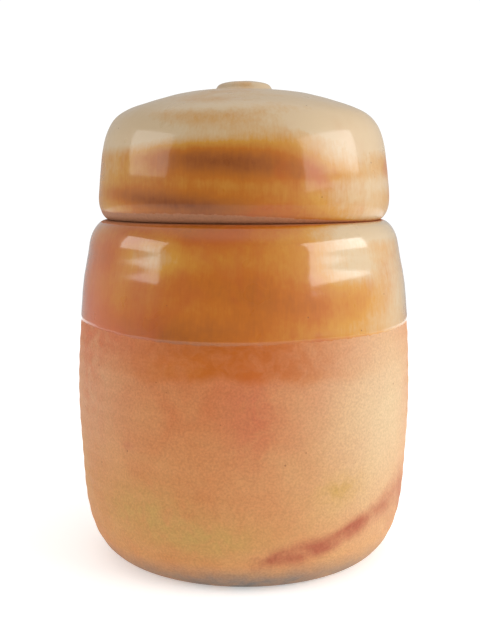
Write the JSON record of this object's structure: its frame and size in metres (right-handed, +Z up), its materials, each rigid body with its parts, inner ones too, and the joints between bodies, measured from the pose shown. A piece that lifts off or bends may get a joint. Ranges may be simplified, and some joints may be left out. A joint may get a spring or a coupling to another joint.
{
  "type": "lidded storage jar",
  "caption": "Barrel-shaped pottery storage jar with a deep domed cap lid and a low knob; the lid lifts off the short neck, and the jar stands on a flat foot.",
  "frame": {"origin": "centre of the foot of the jar, at the level of the surface it stands on", "axes": "+Z up along the axis that the jar and the lid are turned about; the part is round, so +X and +Y are free"},
  "size_m": [0.1776, 0.1776, 0.2487],
  "materials": {
    "jar_pottery": "amber glaze above, bare flashed clay below",
    "lid_pottery": "glossy amber glaze"
  },
  "bodies": {
    "jar": {"jar_body": "jar_pottery"},
    "lid": {"lid": "lid_pottery"}
  },
  "joints": [
    {"name": "lid_lift", "type": "slide", "parent": "jar", "child": "lid", "axis": [0, 0, 1], "range_m": [0, 0.12]}
  ]
}
